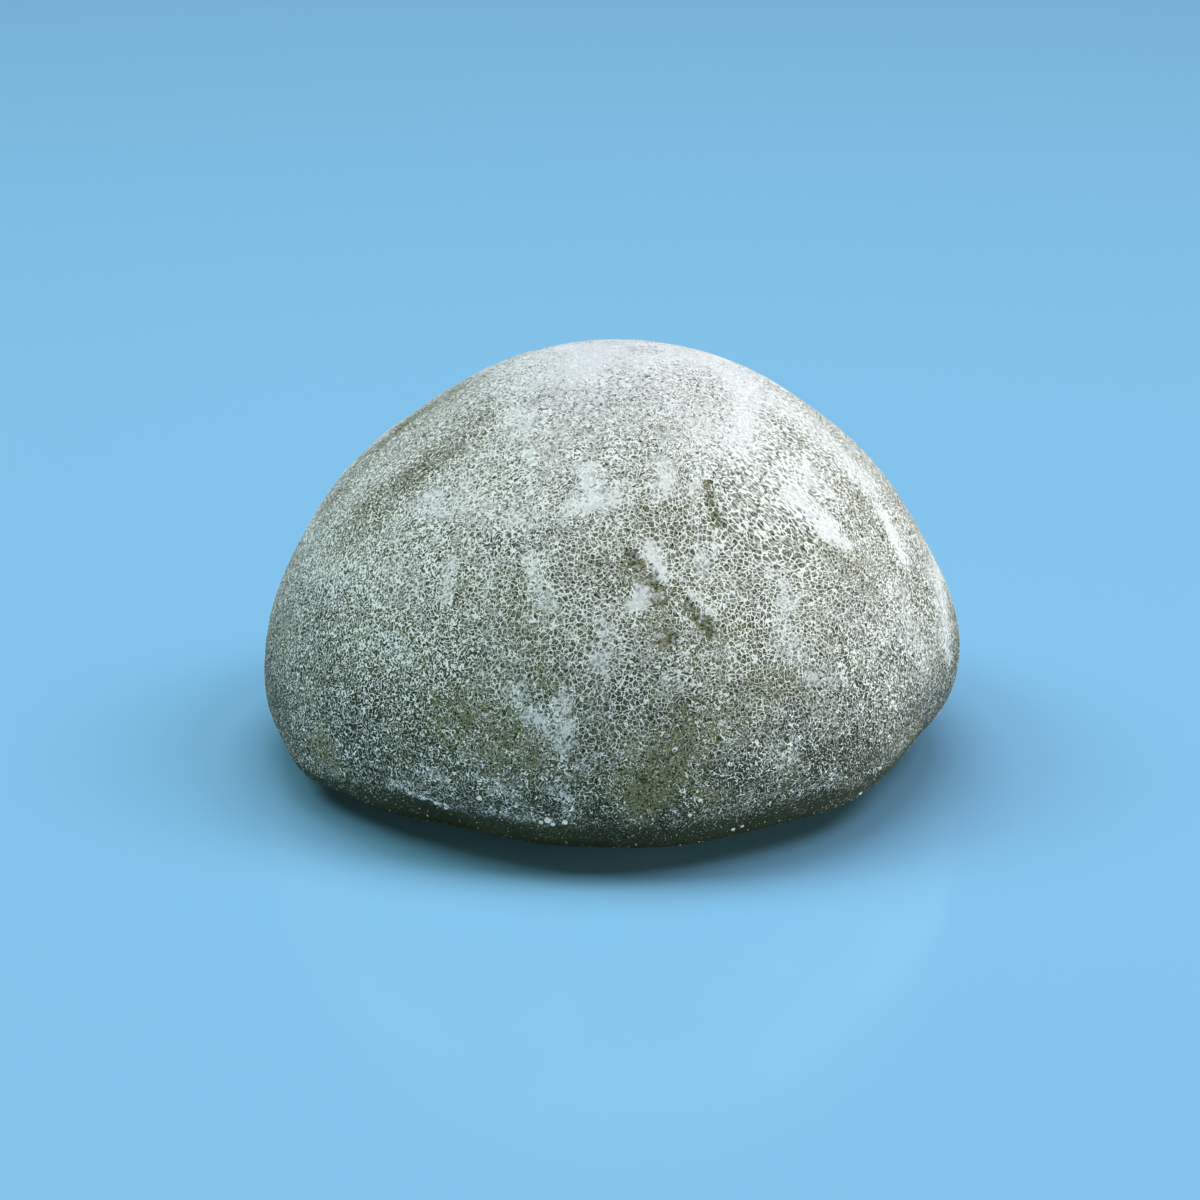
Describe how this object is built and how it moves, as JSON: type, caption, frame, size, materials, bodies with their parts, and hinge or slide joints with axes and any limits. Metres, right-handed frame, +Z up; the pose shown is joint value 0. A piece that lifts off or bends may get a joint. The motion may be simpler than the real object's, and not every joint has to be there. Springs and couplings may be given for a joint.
{
  "type": "filled mochi",
  "caption": "Round uncut mochi of grey-green tea dough under a thin white starch film: a soft dome, widest low down, that rolls under to a narrow flat foot.",
  "frame": {"origin": "on the surface the sweet rests on, under the middle of its outline seen from above", "axes": "+Z up from the flat underside to the crown, -Y towards the picture's camera, +X to the right in the picture"},
  "size_m": [0.054, 0.054, 0.0321],
  "materials": {
    "tea_dough": "soft matte grey-green rice dough with a thin, broken film of white starch",
    "starch": "dry white powder in loose grains and small clumps"
  },
  "bodies": {
    "root": {"mochi": "tea_dough"}
  },
  "joints": []
}
